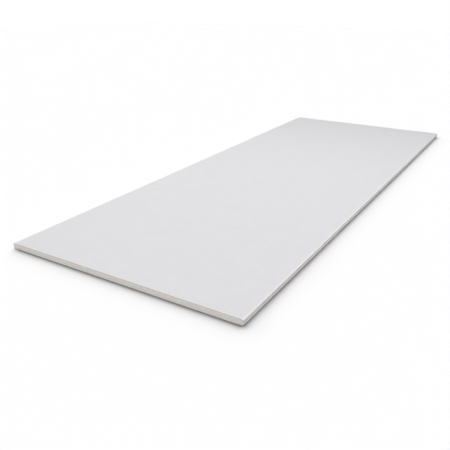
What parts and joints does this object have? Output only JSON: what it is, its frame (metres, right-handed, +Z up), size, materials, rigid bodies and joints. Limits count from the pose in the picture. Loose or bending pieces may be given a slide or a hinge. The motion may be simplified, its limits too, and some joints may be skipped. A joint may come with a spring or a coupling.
{
  "type": "drywall sheet",
  "caption": "Rectangular drywall sheet lying face up: gypsum core between a face paper wrapped round both rounded long edges and a back paper, with ends sawn square.",
  "frame": {"origin": "middle of the back, on the surface that the sheet lies on", "axes": "+X along the length, +Y across the width, +Z up through the face"},
  "size_m": [1.5, 0.6, 0.0125],
  "materials": {
    "gypsum": "sawn set gypsum, matt and chalky, with fine pores and saw marks",
    "face_paper": "smooth off-white facing paper, matt, with faint fibre",
    "back_paper": "grey-brown recycled lining paper, matt, with visible fibre"
  },
  "bodies": {
    "root": {"gypsum_core": "gypsum", "face_paper": "face_paper", "back_paper": "back_paper"}
  },
  "joints": []
}
